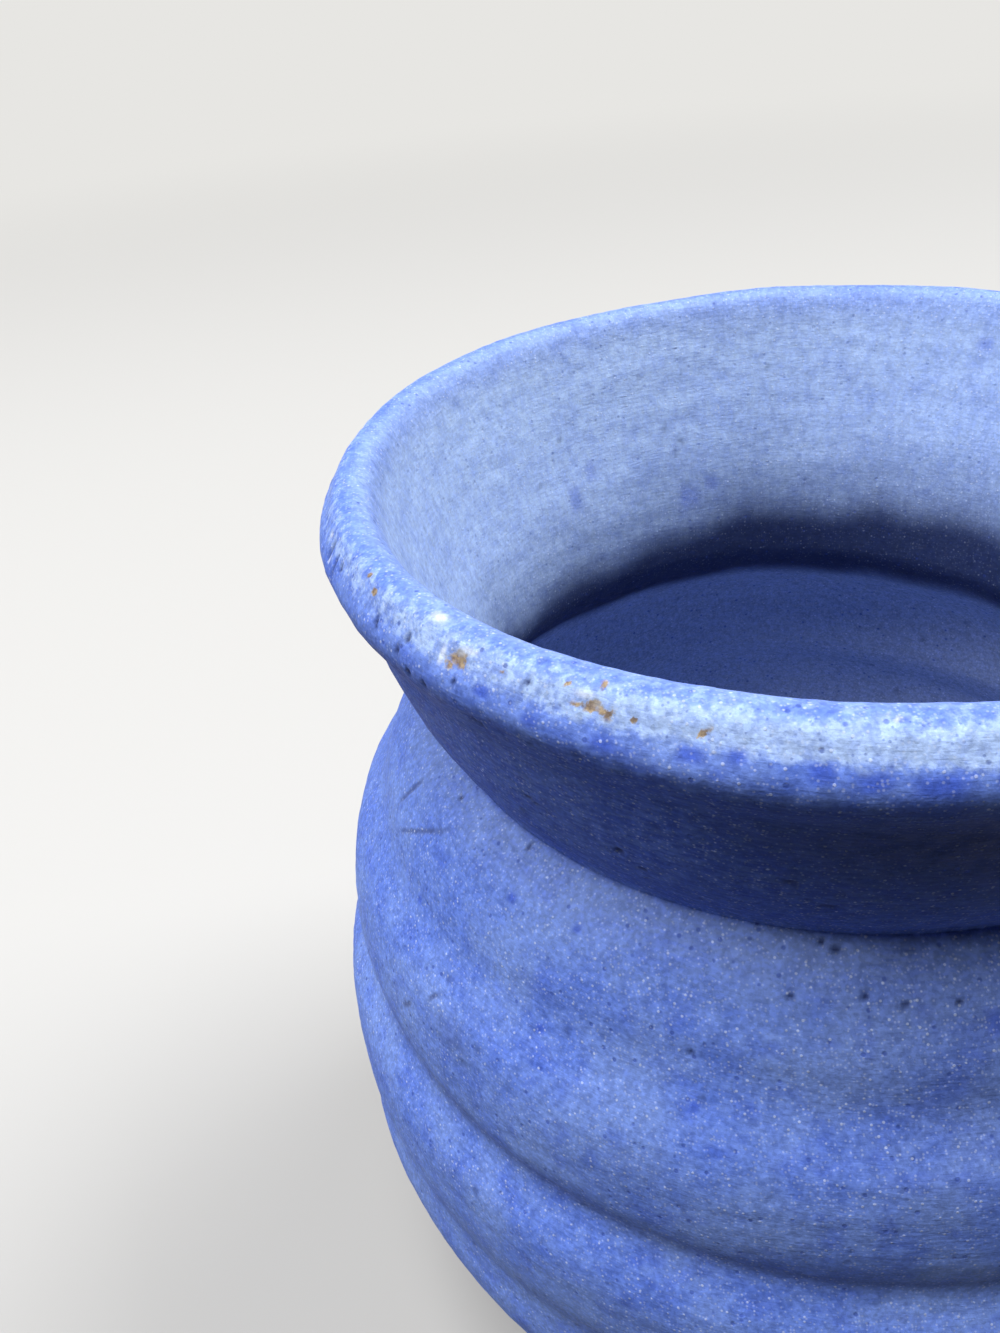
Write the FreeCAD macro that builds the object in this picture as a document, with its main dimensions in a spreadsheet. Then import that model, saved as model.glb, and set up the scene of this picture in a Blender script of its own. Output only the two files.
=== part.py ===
import FreeCAD, Part
import Sketcher
import os

# A small wide-mouthed faience jar, in millimetres. It stands on z = 0 and its axis is Z.
# The fired paste is made in sections, luted together with slurry, and glazed inside and out.

# Driving dimensions: name, value, meaning
SIZES = (
    ("jar_height", 103.0, "ground to the top of the lip"),
    ("rim_radius", 42.0, "axis to the outermost point of the lip"),
    ("lip_half_width", 2.8, "half the thickness of the rounded lip"),
    ("lip_half_height", 3.5, "top of the lip to its outermost point"),
    ("neck_radius", 33.75, "outside radius at the crease under the neck"),
    ("neck_depth", 22.3, "top of the lip to the crease"),
    ("neck_wall", 2.75, "crease radius less throat radius"),
    ("throat_drop", 5.3, "crease to the throat, which lies lower inside"),
    ("groove_radius", 45.15, "outside radius in the groove round the belly"),
    ("groove_depth", 45.9, "top of the lip to the groove"),
    ("belly_radius", 48.1, "outside radius of the belly under the groove"),
    ("wall", 5.0, "paste wall of the body, measured level"),
    ("floor_thickness", 6.0, "paste floor above the foot"),
    ("foot_radius", 25.5, "outside radius of the foot"),
    ("foot_width", 5.5, "level width of the foot ring"),
    ("foot_height", 5.0, "ground to the underside of the floor"),
    ("foot_edge", 0.9, "bevel where the foot meets the ground"),
    ("bare_foot", 2.2, "height of the foot left without glaze"),
    ("glaze", 0.4, "thickness of the glaze skins"),
    ("luting", 0.6, "height of the slurry joints"),
)

# Lip, from its top outwards: share of its half width in from the rim, share of its half height
# down, and how far the glaze face moves level and upwards for each unit of glaze
LIP_OUTSIDE_SHARES = (
    (1.00, 0.00, 0.0, 1.0),
    (0.54, 0.00, 0.3, 1.0),
    (0.40, 0.40, 0.8, 0.7),
    (-0.34, 1.00, 1.0, 0.1),
)
# Lip, from its top inwards, in the same units
LIP_INSIDE_SHARES = (
    (1.50, 0.00, -0.3, 1.0),
    (1.79, 0.54, -1.0, 0.6),
    (1.96, 1.00, -1.0, 0.2),
)
# Outside of the flared neck: share across from the crease to the rim, share down to the crease
NECK_OUTSIDE_SHARES = (
    (0.76, 0.335, 0.95, -0.4),
    (0.70, 0.430, 0.9, -0.4),
    (0.58, 0.590, 0.9, -0.4),
    (0.38, 0.810, 0.9, -0.4),
    (0.13, 0.955, 0.9, -0.4),
)
# Inside of the neck: share across from the throat to the lip, share down from the lip to the throat
NECK_INSIDE_SHARES = (
    (0.89, 0.210, -0.95, 0.3),
    (0.69, 0.340, -0.95, 0.3),
    (0.40, 0.550, -0.95, 0.3),
    (0.14, 0.770, -1.0, 0.2),
    (0.00, 0.920, -1.0, 0.0),
)
# Shoulder outside: shares across and down from the crease to the groove
SHOULDER_OUTSIDE_SHARES = (
    (0.274, 0.016, 0.35, 1.0),
    (0.408, 0.114, 0.75, 0.65),
    (0.599, 0.258, 0.85, 0.5),
    (0.642, 0.402, 0.85, 0.5),
    (0.916, 0.546, 0.85, 0.5),
    (1.003, 0.689, 0.95, 0.3),
    (1.053, 0.833, 1.0, 0.0),
    (1.052, 0.932, 1.0, 0.0),
)
# Shoulder inside: shares across and down from the throat to the groove
SHOULDER_INSIDE_SHARES = (
    (0.00, 0.080, -1.0, 0.0),
    (0.25, 0.232, -0.75, -0.6),
    (0.63, 0.350, -0.6, -0.8),
    (0.90, 0.548, -0.95, -0.3),
    (1.04, 0.747, -1.0, 0.0),
    (1.00, 0.900, -1.0, 0.0),
)
# Bowl outside: shares across from the foot to the belly, and down from the groove to the foot
BOWL_OUTSIDE_SHARES = (
    (0.985, 0.084, 1.0, 0.2),
    (0.993, 0.157, 1.0, 0.0),
    (1.010, 0.239, 1.0, 0.0),
    (0.945, 0.321, 1.0, 0.0),
    (1.015, 0.402, 1.0, 0.0),
    (0.940, 0.516, 0.95, -0.25),
    (0.820, 0.631, 0.85, -0.5),
    (0.630, 0.737, 0.75, -0.65),
    (0.400, 0.826, 0.65, -0.75),
    (0.173, 0.900, 0.65, -0.75),
    (0.028, 0.945, 0.9, -0.3),
    (0.000, 0.977, 1.0, 0.0),
)
# Bowl inside: shares of the inner belly radius, and down from the groove to the floor
BOWL_INSIDE_SHARES = (
    (0.988, 0.105, -1.0, 0.0),
    (1.000, 0.197, -1.0, 0.0),
    (1.003, 0.289, -1.0, 0.0),
    (0.978, 0.381, -1.0, 0.0),
    (0.996, 0.474, -1.0, 0.0),
    (0.964, 0.584, -0.95, 0.25),
    (0.895, 0.714, -0.85, 0.5),
    (0.787, 0.834, -0.7, 0.7),
    (0.629, 0.935, -0.45, 0.9),
    (0.413, 0.995, -0.15, 1.0),
    (0.197, 1.000, 0.0, 1.0),
)
# First step of a wall straight down from the groove, as a share of the drop to the foot or floor
GROOVE_STEP_SHARE = 0.031
# How far the crease's face moves level and upwards for each unit of glaze
CREASE_SHARES = (1.2, 0.35)

SPLINE_DEGREE = 3
FULL_TURN = 360.0
# A sketch numbers an element's points from one up, and its own origin and axis from minus one down
START_POINT, END_POINT, CENTRE_POINT = range(1, 4)
ORIGIN, UPRIGHT_AXIS = range(-1, -3, -1)


class Length:
    """A size from the sheet, or a sum of shares of sizes: its value, and the expression for it."""

    def __init__(self, value, text):
        self.value = value
        self.text = text

    def __add__(self, other):
        return Length(self.value + other.value, f"{self.text} + {other.text}")

    def __sub__(self, other):
        return Length(self.value - other.value, f"{self.text} - ({other.text})")

    def __mul__(self, share):
        return Length(self.value * share, f"({self.text}) * ({share})")


def write_sheet(doc):
    """Put the driving dimensions in the sheet, and return them as lengths by name."""
    sheet = doc.addObject("Spreadsheet::Sheet", "Sizes")
    lengths = {}
    for row, (name, value, meaning) in enumerate(SIZES, start=1):
        sheet.set(f"A{row}", meaning)
        sheet.set(f"B{row}", str(value))
        sheet.setAlias(f"B{row}", name)
        lengths[name] = Length(value, f"Sizes.{name}")
    doc.recompute()
    return lengths


def between(start, end, share):
    """The length a share of the way from one length to another."""
    return start + (end - start) * share


def moved(point, depth):
    """A point of an outline, moved out of the glazed face by the given depth under it."""
    across, height, level, rise = point
    return across - depth * level, height - depth * rise


class Outlines:
    """The jar's outlines. Each point is radius, height, and the way that the glazed face looks."""

    def __init__(self, sizes):
        s = sizes
        self.sizes = s
        self.zero = s["glaze"] * 0
        self.top = s["jar_height"]
        self.rim = s["rim_radius"]
        self.crease_height = self.top - s["neck_depth"]
        self.throat_radius = s["neck_radius"] - s["neck_wall"]
        self.throat_height = self.crease_height - s["throat_drop"]
        self.groove_height = self.top - s["groove_depth"]
        self.groove_inside = s["groove_radius"] - s["wall"] - s["glaze"] * 2
        self.belly_inside = s["belly_radius"] - s["wall"] - s["glaze"] * 2
        self.floor_height = s["foot_height"] + s["floor_thickness"] + s["glaze"]

    def lip(self, shares):
        """Points of the lip from a table of shares of its half width and half height."""
        width = self.sizes["lip_half_width"]
        height = self.sizes["lip_half_height"]
        return [(self.rim - width * inward, self.top - height * down, level, rise)
                for inward, down, level, rise in shares]

    def stretch(self, shares, start, end):
        """Points at shares of the way between two corners, each a radius and a height."""
        return [(between(start[0], end[0], across), between(start[1], end[1], down), level, rise)
                for across, down, level, rise in shares]

    def crease(self, drop):
        """The corner under the neck, at the top or the bottom of its slurry joint."""
        return (self.sizes["neck_radius"], self.crease_height - drop) + CREASE_SHARES

    def throat(self, drop):
        """The narrowest ring inside, at the top or the bottom of the slurry joint."""
        return self.throat_radius, self.throat_height - drop, -1.0, 0.0

    def groove(self, drop):
        """The groove round the belly, at the top or the bottom of its slurry joint."""
        return self.sizes["groove_radius"], self.groove_height - drop, 1.0, 0.0

    def groove_within(self, drop):
        """The wall inside the groove, at the top or the bottom of the slurry joint."""
        return self.groove_inside, self.groove_height - drop, -1.0, 0.0

    def neck_outside(self):
        """From the top of the lip out and down to the crease."""
        crease = self.crease(self.zero)
        flare = self.stretch(NECK_OUTSIDE_SHARES, (crease[0], self.top), (self.rim, crease[1]))
        return self.lip(LIP_OUTSIDE_SHARES) + flare + [crease]

    def neck_inside(self):
        """From the top of the lip in and down to the throat."""
        throat = self.throat(self.zero)
        lip_inside = self.rim - self.sizes["lip_half_width"] * 2
        flare = self.stretch(NECK_INSIDE_SHARES, (throat[0], self.top), (lip_inside, throat[1]))
        return self.lip(LIP_OUTSIDE_SHARES[:1] + LIP_INSIDE_SHARES) + flare + [throat]

    def shoulder_outside(self):
        """From the crease, under its joint, down to the groove."""
        start = self.crease(self.sizes["luting"])
        end = self.groove(self.zero)
        return [start] + self.stretch(SHOULDER_OUTSIDE_SHARES, start, end) + [end]

    def shoulder_inside(self):
        """From the throat, under its joint, down to the wall inside the groove."""
        start = self.throat(self.sizes["luting"])
        end = self.groove_within(self.zero)
        return [start] + self.stretch(SHOULDER_INSIDE_SHARES, start, end) + [end]

    def bowl_outside(self):
        """From the groove, under its joint, down to the top of the foot."""
        start = self.groove(self.sizes["luting"])
        foot = self.sizes["foot_radius"]
        end = (foot, self.sizes["foot_height"], 1.0, 0.0)
        step = (start[0], between(start[1], end[1], GROOVE_STEP_SHARE), 1.0, 0.0)
        belly = self.sizes["belly_radius"]
        curve = self.stretch(BOWL_OUTSIDE_SHARES, (foot, start[1]), (belly, end[1]))
        return [start, step] + curve + [end]

    def bowl_inside(self):
        """From the wall inside the groove, under its joint, down to the middle of the floor."""
        start = self.groove_within(self.sizes["luting"])
        step = (start[0], between(start[1], self.floor_height, GROOVE_STEP_SHARE), -1.0, 0.0)
        curve = self.stretch(BOWL_INSIDE_SHARES, (self.zero, start[1]),
                             (self.belly_inside, self.floor_height))
        return [start, step] + curve + [(self.zero, self.floor_height, 0.0, 1.0)]


def face(points, depth):
    """An outline's points at a depth under the glazed face: none for the glaze, or its thickness."""
    return [moved(point, depth) for point in points]


def place_constraints(element, vertex, place):
    """Constraints that hold a vertex at its radius and height, each with its expression or None."""
    held = []
    for kind, length in (("DistanceX", place[0]), ("DistanceY", place[1])):
        if length.value == 0:
            axis = UPRIGHT_AXIS if kind == "DistanceX" else ORIGIN
            held.append((Sketcher.Constraint("PointOnObject", element, vertex, axis), None))
        else:
            distance = Sketcher.Constraint(kind, ORIGIN, START_POINT, element, vertex, length.value)
            held.append((distance, length.text))
    return held


def as_vector(place):
    """The place on the sketch plane where a vertex starts."""
    return FreeCAD.Vector(place[0].value, place[1].value, 0)


def spline_through(places):
    """A smooth curve on control points, which starts at the first and ends at the last."""
    spans = len(places) - SPLINE_DEGREE
    ends = SPLINE_DEGREE + 1
    multiplicities = [ends] + [1] * (spans - 1) + [ends]
    curve = Part.BSplineCurve()
    curve.buildFromPolesMultsKnots(
        [as_vector(place) for place in places], multiplicities, list(range(spans + 1)),
        False, SPLINE_DEGREE)
    return curve


def control_marker(place):
    """The circle that marks a control point in the sketch. Its radius is the point's weight, one."""
    return Part.Circle(as_vector(place), FreeCAD.Vector(0, 0, 1), 1)


def draw_loop(sketch, sides):
    """Draw a closed loop of sides, each a list of places: two for a line, more for a spline.

    Every control point and corner is held once, at sizes read from the sheet. A corner where a
    side meets a spline needs no place of its own, because the spline's end point holds it.
    """
    straight = [len(places) == 2 for places in sides]
    elements = []
    held = []
    for number, places in enumerate(sides):
        if straight[number]:
            line = Part.LineSegment(as_vector(places[0]), as_vector(places[1]))
            elements.append(sketch.addGeometry(line, False))
            continue
        element = sketch.addGeometry(spline_through(places), False)
        elements.append(element)
        markers = sketch.addGeometry([control_marker(place) for place in places], True)
        held += [(Sketcher.Constraint("InternalAlignment:Sketcher::BSplineControlPoint",
                                      marker, CENTRE_POINT, element, point), None)
                 for point, marker in enumerate(markers)]
        first = 1 if number > 0 and not straight[number - 1] else 0
        for place, marker in list(zip(places, markers))[first:]:
            held += place_constraints(marker, CENTRE_POINT, place)
    for number, element in enumerate(elements):
        joined = Sketcher.Constraint(
            "Coincident", elements[number - 1], END_POINT, element, START_POINT)
        held.append((joined, None))
        if straight[number] and straight[number - 1]:
            held += place_constraints(element, START_POINT, sides[number][0])
    indices = sketch.addConstraint([constraint for constraint, _ in held])
    for index, (_, expression) in zip(indices, held):
        if expression:
            sketch.setExpression(f"Constraints[{index}]", expression)


def turned_body(doc, label, *loops):
    """A piece turned about the upright axis from one closed loop of sides, or several that join."""
    body = doc.addObject("PartDesign::Body", label)
    body.Label = label
    plane = next(item for item in body.Origin.OriginFeatures if item.Role == "XZ_Plane")
    for sides in loops:
        sketch = body.newObject("Sketcher::SketchObject", label + "_outline")
        sketch.AttachmentSupport = [(plane, "")]
        sketch.MapMode = "FlatFace"
        draw_loop(sketch, sides)
        turn = body.newObject("PartDesign::Revolution", label + "_turned")
        turn.Profile = sketch
        turn.ReferenceAxis = (sketch, ["V_Axis"])
        turn.Angle = FULL_TURN
        body.Tip = turn
    body.Placement = FreeCAD.Placement()
    return body


def ring_sides(corners):
    """The straight sides between corners, closed back to the first."""
    return [[corner, following] for corner, following in zip(corners, corners[1:] + corners[:1])]


def make_neck_and_rim(doc, jar, glaze):
    """Flared neck with its thick rounded lip, down to the slanting joint at the crease."""
    outside = face(jar.neck_outside(), glaze)
    inside = face(jar.neck_inside(), glaze)
    joint = [inside[-1], outside[-1]]
    return turned_body(doc, "neck_and_rim", [outside[::-1], inside, joint])


def make_neck_luting(doc, jar, glaze):
    """Ring of slurry from the crease to the throat, between the neck and the shoulder."""
    luting = jar.sizes["luting"]
    corners = face([jar.crease(jar.zero), jar.throat(jar.zero), jar.throat(luting), jar.crease(luting)],
                   glaze)
    return turned_body(doc, "neck_luting", ring_sides(corners))


def make_shoulder(doc, jar, glaze):
    """Upper body with its turned ridges, from the crease to the groove round the belly."""
    outside = face(jar.shoulder_outside(), glaze)
    inside = face(jar.shoulder_inside(), glaze)
    sides = [outside, [outside[-1], inside[-1]], inside[::-1], [inside[0], outside[0]]]
    return turned_body(doc, "shoulder", sides)


def make_belly_luting(doc, jar, glaze):
    """Ring of slurry in the groove, between the shoulder and the bowl."""
    luting = jar.sizes["luting"]
    corners = face([jar.groove(jar.zero), jar.groove(luting),
                    jar.groove_within(luting), jar.groove_within(jar.zero)], glaze)
    return turned_body(doc, "belly_luting", ring_sides(corners))


def make_lower_body(doc, jar, glaze):
    """Bowl-shaped lower section with the floor, down to the flat underside over the foot."""
    outside = face(jar.bowl_outside(), glaze)
    inside = face(jar.bowl_inside(), glaze)
    centre = (jar.zero, jar.sizes["foot_height"])
    sides = [outside, [outside[-1], centre], [centre, inside[-1]], inside[::-1],
             [inside[0], outside[0]]]
    return turned_body(doc, "lower_body", sides)


def foot_radii(jar, glaze):
    """Outer and inner radius of the foot's paste."""
    outer = jar.sizes["foot_radius"] - glaze
    return outer, outer - jar.sizes["foot_width"]


def make_foot_luting(doc, jar, glaze):
    """Flat ring of slurry between the bowl and the foot."""
    outer, inner = foot_radii(jar, glaze)
    high = jar.sizes["foot_height"]
    low = high - jar.sizes["luting"]
    return turned_body(doc, "foot_luting",
                       ring_sides([(outer, high), (outer, low), (inner, low), (inner, high)]))


def make_foot_ring(doc, jar, glaze):
    """Ring that the jar stands on, with both lower edges bevelled."""
    outer, inner = foot_radii(jar, glaze)
    high = jar.sizes["foot_height"] - jar.sizes["luting"]
    edge = jar.sizes["foot_edge"]
    corners = [(outer, high), (outer, edge), (outer - edge, jar.zero), (inner + edge, jar.zero),
               (inner, edge), (inner, high)]
    return turned_body(doc, "foot_ring", ring_sides(corners))


def skin_loops(jar, glaze, outlines, last_face, last_back):
    """One closed loop of glaze for each outline, from its glazed face to the paste under it.

    Each loop also runs down the joint below its outline, to where the next one starts.
    """
    faces = [face(points, jar.zero) for points in outlines]
    backs = [face(points, glaze) for points in outlines]
    face_ends = [places[0] for places in faces[1:]] + [last_face]
    back_ends = [places[0] for places in backs[1:]] + [last_back]
    return [[front, [front[-1], front_end], [front_end, back_end], [back_end, back[-1]],
             back[::-1], [back[0], front[0]]]
            for front, back, front_end, back_end in zip(faces, backs, face_ends, back_ends)]


def make_outer_glaze(doc, jar, glaze):
    """Glaze skin from the top of the lip down the outside, over the upper part of the foot."""
    outlines = [jar.neck_outside(), jar.shoulder_outside(), jar.bowl_outside()]
    bare = jar.sizes["bare_foot"]
    foot = jar.sizes["foot_radius"]
    return turned_body(doc, "outer_glaze",
                       *skin_loops(jar, glaze, outlines, (foot, bare), (foot - glaze, bare)))


def make_inner_glaze(doc, jar, glaze):
    """Glaze skin from the top of the lip down the inside and over the floor."""
    neck_and_shoulder = skin_loops(jar, glaze, [jar.neck_inside(), jar.shoulder_inside()],
                                   jar.bowl_inside()[0][:2], face(jar.bowl_inside(), glaze)[0])
    front = face(jar.bowl_inside(), jar.zero)
    back = face(jar.bowl_inside(), glaze)
    bowl = [front, [front[-1], back[-1]], back[::-1], [back[0], front[0]]]
    return turned_body(doc, "inner_glaze", *neck_and_shoulder, bowl)


def check(doc, bodies):
    """Stop before anything is written if a feature failed or a piece isn't one sound solid."""
    for item in doc.Objects:
        if "Invalid" in item.State or "Error" in item.State:
            raise RuntimeError(f"{item.Label} did not compute: {item.State}")
    for body in bodies:
        shape = body.Shape
        if shape.isNull() or not shape.isValid() or len(shape.Solids) != 1:
            raise RuntimeError(f"{body.Label} is not one valid solid")


def main():
    """Build the jar and write one STEP file for each piece."""
    doc = FreeCAD.newDocument("faience_jar")
    jar = Outlines(write_sheet(doc))
    glaze = jar.sizes["glaze"]
    makers = (make_neck_and_rim, make_neck_luting, make_shoulder, make_belly_luting, make_lower_body,
              make_foot_luting, make_foot_ring, make_outer_glaze, make_inner_glaze)
    bodies = [make(doc, jar, glaze) for make in makers]
    doc.recompute()
    check(doc, bodies)
    os.makedirs("parts", exist_ok=True)
    for body in bodies:
        body.Shape.exportStep(f"parts/{body.Label}.step")
        print(body.Label, round(body.Shape.Volume, 1), body.Shape.BoundBox)


main()
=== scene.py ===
"""A small wide-mouthed faience jar: its glaze, its bare paste, and a plain stage to look at it."""

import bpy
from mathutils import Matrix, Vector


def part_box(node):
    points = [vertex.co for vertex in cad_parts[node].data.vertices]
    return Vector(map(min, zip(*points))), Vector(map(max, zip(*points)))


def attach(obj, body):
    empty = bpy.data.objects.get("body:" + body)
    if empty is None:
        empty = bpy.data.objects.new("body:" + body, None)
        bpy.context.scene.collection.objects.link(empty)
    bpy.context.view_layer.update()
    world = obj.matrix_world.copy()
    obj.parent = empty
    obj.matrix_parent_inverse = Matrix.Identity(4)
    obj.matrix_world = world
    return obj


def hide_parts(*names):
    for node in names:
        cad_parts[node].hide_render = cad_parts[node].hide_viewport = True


bl_info = {
    "name": "Faience jar",
    "version": (1, 0, 0),
    "blender": (4, 5, 0),
    "location": "3D View > Sidebar > Faience jar",
    "description": "Glaze, bare paste and stage of a small wide-mouthed faience jar",
    "category": "Object",
}

import math
from types import SimpleNamespace

import bpy
import numpy as np
from bpy.props import FloatProperty, FloatVectorProperty, IntProperty, PointerProperty
from mathutils import Matrix, Vector

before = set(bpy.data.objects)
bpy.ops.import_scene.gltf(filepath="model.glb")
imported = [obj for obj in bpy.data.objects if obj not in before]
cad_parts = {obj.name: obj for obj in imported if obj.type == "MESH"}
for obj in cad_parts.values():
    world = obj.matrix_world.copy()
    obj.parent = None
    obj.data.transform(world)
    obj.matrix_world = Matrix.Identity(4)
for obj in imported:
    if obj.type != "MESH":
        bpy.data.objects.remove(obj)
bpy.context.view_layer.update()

MM = 0.001
BODY = "root"
GLAZE_NAME = "mottled_blue_glaze"

# What the paste and its joints give for the jar's sizes
NECK_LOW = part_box("neck_and_rim")[0]
NECK_JOINT_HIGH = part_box("neck_luting")[1]
BELLY_JOINT_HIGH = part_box("belly_luting")[1]
FOOT_JOINT_LOW, FOOT_JOINT_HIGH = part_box("foot_luting")
BOWL_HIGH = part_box("lower_body")[1]
OUTER_LOW, OUTER_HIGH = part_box("outer_glaze")
INNER_LOW, INNER_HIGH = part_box("inner_glaze")
GLAZE = OUTER_HIGH.x - BOWL_HIGH.x
LUTING = FOOT_JOINT_HIGH.z - FOOT_JOINT_LOW.z

# How far the glaze's face at the crease lies out from and above the joint, for each unit of glaze
CREASE_LEVEL_SHARE = 1.2
CREASE_RISE_SHARE = 0.35

# Outlines as shares, as the paste has them. Lip: in from the rim by half widths, down by half heights
LIP_OUTSIDE_SHARES = ((1.00, 0.00), (0.54, 0.00), (0.40, 0.40), (-0.34, 1.00))
LIP_INSIDE_SHARES = ((1.00, 0.00), (1.50, 0.00), (1.79, 0.54), (1.96, 1.00))
# Across from the crease to the rim, down from the top to the crease
NECK_OUTSIDE_SHARES = ((0.76, 0.335), (0.70, 0.430), (0.58, 0.590), (0.38, 0.810), (0.13, 0.955))
# Across from the throat to the lip, down from the top to the throat
NECK_INSIDE_SHARES = ((0.89, 0.210), (0.69, 0.340), (0.40, 0.550), (0.14, 0.770), (0.00, 0.920))
# Across and down from the crease to the groove
SHOULDER_OUTSIDE_SHARES = ((0.000, 0.000), (0.274, 0.016), (0.408, 0.114), (0.599, 0.258),
                           (0.642, 0.402), (0.916, 0.546), (1.003, 0.689), (1.053, 0.833),
                           (1.052, 0.932), (1.000, 1.000))
# Across and down from the throat to the wall inside the groove
SHOULDER_INSIDE_SHARES = ((0.00, 0.000), (0.00, 0.080), (0.25, 0.232), (0.63, 0.350),
                          (0.90, 0.548), (1.04, 0.747), (1.00, 0.900), (1.00, 1.000))
# Across from the foot to the belly, down from the groove to the foot
BOWL_OUTSIDE_SHARES = ((0.985, 0.084), (0.993, 0.157), (1.010, 0.239), (0.945, 0.321),
                       (1.015, 0.402), (0.940, 0.516), (0.820, 0.631), (0.630, 0.737),
                       (0.400, 0.826), (0.173, 0.900), (0.028, 0.945), (0.000, 0.977))
# Shares of the inner belly radius, and down from the groove to the floor
BOWL_INSIDE_SHARES = ((0.988, 0.105), (1.000, 0.197), (1.003, 0.289), (0.978, 0.381),
                      (0.996, 0.474), (0.964, 0.584), (0.895, 0.714), (0.787, 0.834),
                      (0.629, 0.935), (0.413, 0.995), (0.197, 1.000), (0.000, 1.000))
# First step of a wall straight down from the groove
GROOVE_STEP_SHARE = 0.031
OUTLINE_SAMPLES = 400

# Coats of glaze: name, and where it starts and ends as a landmark and mm further down the outside
OUTER_COATS = (
    ("foot_glaze", ("edge", 0.0), ("foot", -29.0)),
    ("belly_glaze", ("foot", -29.0), ("groove", 0.6)),
    ("shoulder_glaze", ("groove", 0.6), ("crease", 0.0)),
    ("neck_glaze", ("crease", 0.0), ("lip", 8.0)),
)
LIP_COATS = (
    ("lip_glaze", ("lip", 8.0), ("lip", -8.0)),
)
INNER_COATS = (
    ("throat_glaze", ("lip", -8.0), ("throat", -0.6)),
    ("inner_shoulder_glaze", ("throat", -0.6), ("groove_inside", -0.6)),
    ("inner_belly_glaze", ("groove_inside", -0.6), ("floor", 38.0)),
    ("floor_glaze", ("floor", 38.0), ("floor", 0.25)),
)
# A coat that ends beyond this way is inside. Rows of points there and on a coat's back stand this
# many times further apart. The back lies as deep as a share of the glaze, and off the axis
INSIDE_PAST_MM = -10.0
INSIDE_ROW_SHARE = 1.5
BACK_ROW_SHARE = 5.0
BACK_DEPTH_SHARE = 1.25
BACK_LEAST_RADIUS_MM = 0.1

# Marks: turn in degrees from the front to the right, way down the outside from the lip's top in mm,
# half size round and down the wall in mm, lean in degrees, depth in mm
PASTE_SPOTS = (
    (-49.8, 2.5, 0.9, 0.62, 0, 0.2),
    (-35.0, 2.2, 1.05, 0.34, -10, 0.09),
    (-37.2, 2.2, 0.45, 0.28, 0, 0.07),
    (-44.6, 2.0, 0.32, 0.26, 0, 0.05),
    (-38.0, 1.3, 0.24, 0.2, 0, 0.04),
    (-35.2, 0.7, 0.22, 0.3, 30, 0.04),
    (-31.8, 2.4, 0.24, 0.3, 20, 0.05),
    (-26.4, 2.35, 0.55, 0.16, 35, 0.05),
    (-64.0, 1.8, 0.35, 0.35, 0, 0.03),
    (-66.4, 1.3, 0.3, 0.3, 0, 0.03),
    (41.0, 2.6, 0.45, 0.35, 15, 0.1),
    (118.0, 1.9, 0.6, 0.4, 0, 0.12),
    (163.0, 3.1, 0.4, 0.5, 0, 0.09),
    (-131.0, 2.2, 0.5, 0.35, -20, 0.1),
    (97.0, 58.4, 0.9, 0.55, 0, 0.08),
)
DARK_PITS = (
    (-49.4, 3.8, 0.18, 0.3, 10, 0.22),
    (-77.6, 3.0, 0.24, 0.75, 0, 0.28),
    (-75.0, 3.5, 0.19, 0.8, 0, 0.24),
    (-73.2, 2.8, 0.19, 0.42, 20, 0.16),
    (-62.0, 3.4, 0.2, 0.5, 20, 0.2),
    (-56.6, 2.9, 0.22, 0.3, 0, 0.16),
    (-57.6, 4.1, 0.21, 0.38, 15, 0.16),
    (-55.8, 5.3, 0.26, 0.38, 0, 0.18),
    (-53.4, 5.4, 0.22, 0.28, 0, 0.16),
    (-47.2, 6.6, 0.52, 0.26, -35, 0.2),
    (-41.8, 1.9, 0.2, 0.18, 0, 0.12),
    (-36.2, 17.5, 0.34, 0.44, -25, 0.16),
    (-34.0, 19.1, 0.3, 0.24, -25, 0.1),
    (-46.0, 15.3, 0.8, 0.2, -28, 0.1),
    (-14.0, 27.8, 0.38, 0.27, 0, 0.16),
    (-15.6, 27.4, 0.24, 0.16, 20, 0.1),
    (-11.2, 30.5, 0.3, 0.24, 0, 0.12),
    (-18.4, 30.9, 0.28, 0.22, 0, 0.1),
    (-7.4, 31.1, 0.34, 0.24, 15, 0.1),
    (-2.2, 31.0, 0.28, 0.22, 0, 0.1),
    (-6.6, 27.6, 0.5, 0.18, 0, 0.07),
    (-15.6, 18.9, 0.6, 0.2, 0, 0.08),
    (-19.2, 16.0, 0.5, 0.2, -15, 0.08),
    (-27.4, 36.4, 0.22, 0.22, 0, 0.12),
    (-67.4, 28.6, 0.24, 0.22, 0, 0.08),
    (-53.0, 27.6, 0.2, 0.26, 20, 0.06),
)
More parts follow.
